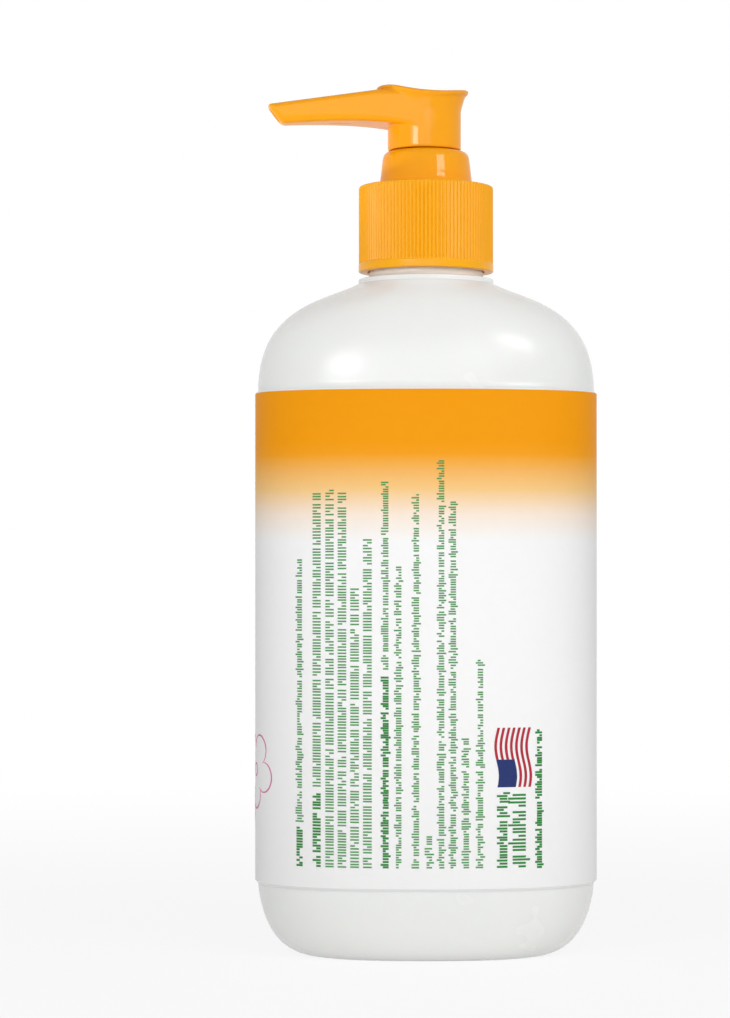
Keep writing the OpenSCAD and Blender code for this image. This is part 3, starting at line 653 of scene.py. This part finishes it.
# The glossy cone that snaps over the housing and holds the lock thread
collar = {"foot": 188.6, "top": 197.2, "radius": 11.6, "shoulder": 10.45, "lockBore": 6.6,
          "floorTop": 190.7, "floor": 189.4, "stemHole": 3.66, "snapFoot": 186.75,
          "barrelHole": 7.3, "snapRadius": 9.9, "columns": 240}


def makeCollar():
    # A turned outline: snap ring, cone, lock bore, floor and the hole for the barrel
    c = collar
    outline = softCorners([
        (c["snapRadius"], c["snapFoot"], 0.2), (c["snapRadius"], c["foot"], 0.1),
        (c["radius"], c["foot"], 0.2), (c["radius"] - 0.35, c["foot"] + 1.6, 0.8),
        (c["shoulder"], c["top"] - 0.2, 1.9), (c["lockBore"], c["top"], 0.35),
        (c["lockBore"], c["floorTop"], 0.3), (c["stemHole"], c["floorTop"], 0.15),
        (c["stemHole"], c["floor"], 0.15), (c["barrelHole"], c["floor"], 0.15),
        (c["barrelHole"], c["snapFoot"], 0.15)], steps=9)
    newPiece("collarCone", turnedPoints(outline, c["columns"]),
             ringQuads(len(outline), c["columns"]), [finishes["glossyOrange"]], "pump",
             ["collar"], crease=45)


makeCollar()
print("collar made")


# The head: hub, spout, thumb pad and lock boss in one moulding
head = {
    "foot": 197.3, "hub": 9.0, "hubAhead": 0.4, "skirt": 7.9, "skirtTop": 202.8,
    "boss": 6.2, "bossFoot": 191.0, "bossRise": 8, "stemSocket": 3.6, "stemTop": 204.9,
    "stemBore": 2.2,
    # the spout: its heights are from the head's foot, and the slant is in degrees
    "reach": 39.2, "tipHalf": 3.3, "spoutLow": 5.95, "tipTop": 10.9, "spoutRise": 3.3,
    "arch": 0.75, "rootDrop": 2.1, "underShare": 0.8, "slant": 37, "outlet": 1.5,
    "pad": 11.3, "padAcross": 9.7, "padAhead": 0.9, "padThick": 1.1,
    "flareFoot": 206.7, "flareTop": 211.2, "flareOut": 1.75,
    "dish": 31.3, "dishBack": 1.6, "dishLow": 211.1, "crown": 213.0,
    # the spout's turn from -X in degrees, and the grid that the head is meshed on
    "yaw": 4.5, "grid": 0.28,
    # how far each edge or joint is rounded
    "edges": {"hub": 0.4, "spoutTop": 1.6, "spoutFoot": 1.5, "spoutRoot": 0.6, "tip": 0.9,
              "plate": 0.7, "hubToSpout": 0.3, "toPlate": 0.7, "dish": 0.9, "crown": 0.8,
              "boss": 0.4, "hollow": 0.4, "skirt": 0.3, "toBoss": 0.4, "sharp": 0.1,
              "socket": 0.2, "outlet": 0.3},
}


def softMax(a, b, reach):
    # The larger of the two, rounded over the reach: max + (reach - |a - b|)^2 / (4 reach)
    close = np.maximum(reach - np.abs(a - b), 0)
    return np.maximum(a, b) + close * close / (4 * reach)


def softMin(a, b, reach):
    return -softMax(-a, -b, reach)


def headField(x, y, z):
    # Below zero inside the head: hub, spout and flared pad run together, less the dish, the
    # slanted tip and the bores; every edge is rounded by its softMax
    h, edge = head, head["edges"]
    fromAxis = np.hypot(x, y)
    # the hub spreads to the pad: radius and centre move with the height's share, to the 1.3
    grow = np.clip((z - h["flareFoot"]) / (h["flareTop"] - h["flareFoot"]), 0, 1.2) ** 1.3
    ahead = h["hubAhead"] + (h["padAhead"] - h["hubAhead"]) * grow
    hubLong = h["hub"] + h["flareOut"] * grow
    hubAcross = h["hub"] + (h["padAcross"] - h["hub"]) * 0.7 * grow
    hub = (np.hypot((x + ahead) / hubLong, y / hubAcross) - 1) * h["hub"]
    hub = softMax(hub * 0.8, h["foot"] - z, edge["hub"])
    # the spout's sides touch the hub's circle; its underside arches and then falls to the hub
    side = math.tan(math.asin((h["hub"] - h["tipHalf"] * 0.97) / h["reach"]))
    half = np.maximum(h["tipHalf"] + side * (h["reach"] + x), 1.0)
    padFront = h["padAhead"] + h["pad"]
    climb = h["spoutRise"] * (h["reach"] + x) / (h["reach"] - padFront)
    top = np.minimum(h["foot"] + h["tipTop"] + climb, h["dishLow"] + 0.4)
    share = np.clip((h["reach"] + x) / h["reach"], 0, 1)
    low = h["foot"] + h["spoutLow"] + h["arch"] * np.sin(np.pi * share) \
        - h["rootDrop"] * share ** 6
    level = np.clip((z - low) / (top - low), 0, 1)
    drawn = h["underShare"] + (1 - h["underShare"]) * share
    wide = half * (drawn + (1 - drawn) * level)
    spout = softMax(np.abs(y) - wide, z - top, edge["spoutTop"])
    spout = softMax(spout, low - z, edge["spoutFoot"])
    spout = softMax(spout, x + 1, edge["spoutRoot"])
    # the tip's plane leans by the slant from the vertical
    lean = math.radians(h["slant"])
    tip = -((x + h["reach"]) * math.cos(lean) + (z - h["foot"] - h["tipTop"]) * math.sin(lean))
    spout = softMax(spout, tip, edge["tip"])
    # the pad is an oval plate as thick all over, whose top is the dish
    across = np.clip(x - h["dishBack"], -h["dish"] + 1, h["dish"] - 1)
    dishTop = h["dishLow"] + h["dish"] - np.sqrt(h["dish"] ** 2 - across ** 2)
    oval = (np.hypot((x + h["padAhead"]) / h["pad"], y / h["padAcross"]) - 1) * h["padAcross"]
    plate = softMax(oval, dishTop - h["padThick"] - z, edge["plate"])
    solid = softMin(softMin(hub, spout, edge["hubToSpout"]), plate, edge["toPlate"])
    solid = softMax(solid, (z - dishTop) * 0.95, edge["dish"])
    solid = softMax(solid, z - h["crown"], edge["crown"])
    # the skirt's hollow leaves the lock boss, which the stem is pressed into
    boss = softMax(fromAxis - h["boss"], h["bossFoot"] - z, edge["boss"])
    boss = softMax(boss, z - h["foot"] - h["bossRise"], edge["sharp"])
    hollow = softMax(fromAxis - h["skirt"], z - h["skirtTop"], edge["hollow"])
    solid = softMin(softMax(solid, -hollow, edge["skirt"]), boss, edge["toBoss"])
    socket = softMax(fromAxis - h["stemSocket"], z - h["stemTop"], edge["sharp"])
    outlet = h["foot"] + h["spoutLow"] + (h["tipTop"] - h["spoutLow"]) / 2
    rise = np.maximum(fromAxis - h["stemBore"], z - outlet)
    bore = np.maximum(np.hypot(y, z - outlet) - h["outlet"], x)
    solid = softMax(solid, -np.minimum(socket, rise), edge["socket"])
    return softMax(solid, -bore, edge["outlet"])


def netSurface(field, low, high, step):
    # Surface nets: a grid cell that the zero of the field crosses gets one point, the mean of the
    # crossings on its edges; a crossed grid edge gets the quad of the four cells around it; at
    # last each point is drawn onto the zero by two steps down the slope, each of field / |slope|^2
    # times the slope
    axes = [np.arange(a, b + step, step) for a, b in zip(low, high)]
    value = field(*np.meshgrid(*axes, indexing="ij"))
    cells = [n - 1 for n in value.shape]
    total, count = np.zeros(cells + [3]), np.zeros(cells)
    for axis in range(3):
        u, v = (axis + 1) % 3, (axis + 2) % 3
        for p in (0, 1):
            for q in (0, 1):
                near = [slice(0, n) for n in cells]
                near[u], near[v] = slice(p, cells[u] + p), slice(q, cells[v] + q)
                far = list(near)
                far[axis] = slice(1, cells[axis] + 1)
                a, b = value[tuple(near)], value[tuple(far)]
                crossed = (a < 0) != (b < 0)
                total[..., axis] += np.where(crossed, a / np.where(crossed, a - b, 1), 0)
                total[..., u] += p * crossed
                total[..., v] += q * crossed
                count += crossed
    used = count > 0
    number = np.cumsum(used.ravel()).reshape(used.shape) - 1
    points = np.array(low) + step * (np.argwhere(used) + total[used] / count[used][:, None])
    faces = []
    for axis in range(3):
        u, v = (axis + 1) % 3, (axis + 2) % 3
        near = [slice(0, n) for n in cells]
        near[u], near[v] = slice(1, cells[u]), slice(1, cells[v])
        far = list(near)
        far[axis] = slice(1, cells[axis] + 1)
        a, b = value[tuple(near)], value[tuple(far)]
        place = np.argwhere((a < 0) != (b < 0))
        leaving = (a < 0)[tuple(place.T)]
        place[:, u] += 1
        place[:, v] += 1
        stepU, stepV = np.eye(3, dtype=int)[u], np.eye(3, dtype=int)[v]
        around = [place - stepU - stepV, place - stepV, place, place - stepU]
        quads = np.stack([number[tuple(cell.T)] for cell in around], axis=1)
        quads[~leaving] = quads[~leaving, ::-1]
        faces.append(quads)
    for turn in range(2):
        here = field(*points.T)
        slope = np.stack([field(*(points + d).T) - field(*(points - d).T)
                          for d in np.eye(3) * 0.02], axis=1) / 0.04
        move = here / np.maximum((slope ** 2).sum(axis=1), 0.05)
        points = points - np.clip(move[:, None] * slope, -0.15, 0.15)
    return points, np.concatenate(faces)


def makeHead():
    h = head
    points, faces = netSurface(headField, (-h["reach"] - 0.7, -12.1, h["bossFoot"] - 0.5),
                               (11.4, 12.1, h["crown"] + 0.6), h["grid"])
    yaw = math.radians(h["yaw"])
    turned = points @ np.array([[math.cos(yaw), math.sin(yaw), 0],
                                [-math.sin(yaw), math.cos(yaw), 0], [0, 0, 1]])
    newPiece("headShell", turned, faces.tolist(), [finishes["glossyOrange"]], "head",
             ["head"], crease=75)


makeHead()
print("head made")


# The steel spring
spring = {"foot": 144.9, "top": 162.2, "radius": 4.55, "wire": 0.45, "turns": 9, "perTurn": 36,
          "closedPitch": 0.945}


def makeSpring():
    # The wire's height: one closed turn at each end and an even climb between
    s = spring
    climb = s["top"] - s["foot"] - 2 * s["wire"]

    def lead(turn):
        middle = climb - 2 * s["closedPitch"]
        return s["closedPitch"] * np.clip(turn, 0, 1) \
            + middle * np.clip((turn - 1) / (s["turns"] - 2), 0, 1) \
            + s["closedPitch"] * np.clip(turn - s["turns"] + 1, 0, 1)

    around = np.linspace(0, 2 * np.pi, 12, endpoint=False)
    section = np.stack([s["wire"] * np.cos(around), s["wire"] * np.sin(around)], axis=1) * 0.98
    points, faces = alongHelix(section, s["radius"], s["foot"] + s["wire"], lead, s["turns"],
                               s["perTurn"])
    piece = newPiece("springWire", points, [face[::-1] for face in faces],
                     [finishes["springSteel"]], None, ["spring"], crease=60)
    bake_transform(piece)


makeSpring()
print("spring made")


# The pump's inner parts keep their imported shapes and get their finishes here
innerFinish = {"stem": "naturalPlastic", "valve_plug": "naturalPlastic",
               "housing": "naturalPlastic", "ball_cage": "naturalPlastic",
               "piston": "sealPlastic", "gasket": "sealPlastic",
               "inlet_ball": "ballSteel", "dip_tube": "tubePlastic"}
for node, finishName in innerFinish.items():
    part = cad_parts[node]
    part.data.materials.clear()
    part.data.materials.append(finishes[finishName])
print("inner parts finished")


# Floor, light and camera
studio = {
    "horizon": 0.0966, "distance": 0.740, "lens": 106.2, "shift": (-0.0599, 0.0501),
    "sky": 0.35, "floorColour": (0.92, 0.92, 0.92, 1), "floorSize": 12, "lampAim": 0.15,
    # the floor's white share at the two distances of the fade from the bottle
    "whiteNear": 0.86, "whiteFar": 1.0, "fade": (0.05, 0.6),
    # place as azimuth from the camera's side, distance and height, then size and power
    "lamps": {
        "leftBox": (-36, 1.15, 0.36, 0.34, 0.30, 1.0),
        "hubBox": (-28, 1.05, 0.35, 0.28, 0.08, 1.4),
        "rightBox": (20, 1.15, 0.49, 0.50, 0.24, 0.75),
        "collarBox": (40, 1.05, 0.65, 0.40, 0.13, 2.1),
        "front": (-2, 1.6, 0.27, 1.3, 0.76, 5.9),
    },
    # narrow beams that no surface mirrors: azimuth, distance, height, size, power, the height on
    # the pump's axis that they point at, and the spread in degrees
    "fills": {
        "leftFill": (-80, 0.5, 0.26, 0.1, 0.0058, 0.205, 22),
        "rightFill": (80, 0.5, 0.26, 0.1, 0.0135, 0.2, 22),
        "spoutFill": (-78, 0.25, 0.03, 0.04, 0.005, 0.23, 18),
        "heelFill": (62, 0.5, 0.08, 0.1, 0.006, 0.005, 24),
    },
}


def whiteToCamera(tree, plain, white):
    # A camera, glossy or transmission ray sees the white, and every other ray the plain shader
    path = tree.nodes.new("ShaderNodeLightPath")
    direct = tree.nodes.new("ShaderNodeMath")
    direct.operation = "MAXIMUM"
    either = tree.nodes.new("ShaderNodeMath")
    either.operation = "MAXIMUM"
    share = tree.nodes.new("ShaderNodeMath")
    share.name = "White share"
    share.operation = "MULTIPLY"
    share.inputs[1].default_value = 1
    mix = tree.nodes.new("ShaderNodeMixShader")
    tree.links.new(path.outputs["Is Camera Ray"], direct.inputs[0])
    tree.links.new(path.outputs["Is Glossy Ray"], direct.inputs[1])
    tree.links.new(direct.outputs[0], either.inputs[0])
    tree.links.new(path.outputs["Is Transmission Ray"], either.inputs[1])
    tree.links.new(either.outputs[0], share.inputs[0])
    tree.links.new(share.outputs[0], mix.inputs["Fac"])
    tree.links.new(plain.outputs[0], mix.inputs[1])
    tree.links.new(white.outputs[0], mix.inputs[2])
    return mix


def makeFloor():
    bpy.ops.mesh.primitive_plane_add(size=studio["floorSize"], location=(0, 0, 0))
    floor = bpy.context.object
    floor.name = "studioFloor"
    finish = bpy.data.materials.new("studioFloor")
    finish.use_nodes = True
    tree = finish.node_tree
    shader = tree.nodes["Principled BSDF"]
    shader.inputs["Base Color"].default_value = studio["floorColour"]
    shader.inputs["Roughness"].default_value = 0.9
    glow = tree.nodes.new("ShaderNodeEmission")
    glow.inputs["Color"].default_value = (1, 1, 1, 1)
    mix = whiteToCamera(tree, shader, glow)
    # near the bottle the floor's own shade shows through the white, and far away it is all white
    place = tree.nodes.new("ShaderNodeTexCoord")
    away = tree.nodes.new("ShaderNodeVectorMath")
    away.operation = "LENGTH"
    fade = tree.nodes.new("ShaderNodeMapRange")
    fade.interpolation_type = "SMOOTHSTEP"
    fade.inputs["From Min"].default_value, fade.inputs["From Max"].default_value = studio["fade"]
    fade.inputs["To Min"].default_value = studio["whiteNear"]
    fade.inputs["To Max"].default_value = studio["whiteFar"]
    tree.links.new(place.outputs["Object"], away.inputs[0])
    tree.links.new(away.outputs["Value"], fade.inputs["Value"])
    tree.links.new(fade.outputs["Result"], tree.nodes["White share"].inputs[1])
    tree.links.new(mix.outputs[0], tree.nodes["Material Output"].inputs["Surface"])
    floor.data.materials.append(finish)


def makeSky():
    world = bpy.data.worlds.new("studioSky")
    bpy.context.scene.world = world
    world.use_nodes = True
    tree = world.node_tree
    sky = tree.nodes["Background"]
    sky.inputs["Color"].default_value = (1, 1, 1, 1)
    sky.inputs["Strength"].default_value = studio["sky"]
    bright = tree.nodes.new("ShaderNodeBackground")
    bright.inputs["Strength"].default_value = 1
    bright.inputs["Color"].default_value = (1, 1, 1, 1)
    mix = whiteToCamera(tree, sky, bright)
    tree.links.new(mix.outputs[0], tree.nodes["World Output"].inputs["Surface"])


def addLamp(name, azimuth, distance, height, width, tall, power, aim):
    light = bpy.data.lights.new(name, "AREA")
    light.shape = "RECTANGLE"
    light.size, light.size_y = width, tall
    light.energy = power
    lamp = bpy.data.objects.new(name, light)
    bpy.context.scene.collection.objects.link(lamp)
    a = math.radians(azimuth)
    lamp.location = (distance * math.sin(a), -distance * math.cos(a), height)
    # it looks at the pump's axis: its own -Z points from the lamp to there
    fall = math.atan2(height - aim, distance)
    lamp.rotation_euler = (math.pi / 2 - fall, 0, a)
    return lamp


def makeLamps():
    for name, values in studio["lamps"].items():
        addLamp(name, *values, studio["lampAim"])
    for name, (azimuth, distance, height, size, power, aim, spread) in studio["fills"].items():
        fill = addLamp(name, azimuth, distance, height, size, size, power, aim)
        fill.data.spread = math.radians(spread)
        fill.visible_glossy = False


def makeCamera():
    camera = bpy.data.cameras.new("camera")
    camera.lens, camera.sensor_width = studio["lens"], 36
    camera.shift_x, camera.shift_y = studio["shift"]
    camera.clip_start = 0.01
    eye = bpy.data.objects.new("camera", camera)
    eye.location = (0, -studio["distance"], studio["horizon"])
    eye.rotation_euler = (math.pi / 2, 0, 0)
    bpy.context.scene.collection.objects.link(eye)
    bpy.context.scene.camera = eye


makeFloor()
makeSky()
makeLamps()
makeCamera()
bpy.context.scene.view_settings.view_transform = "Standard"
print("studio made")
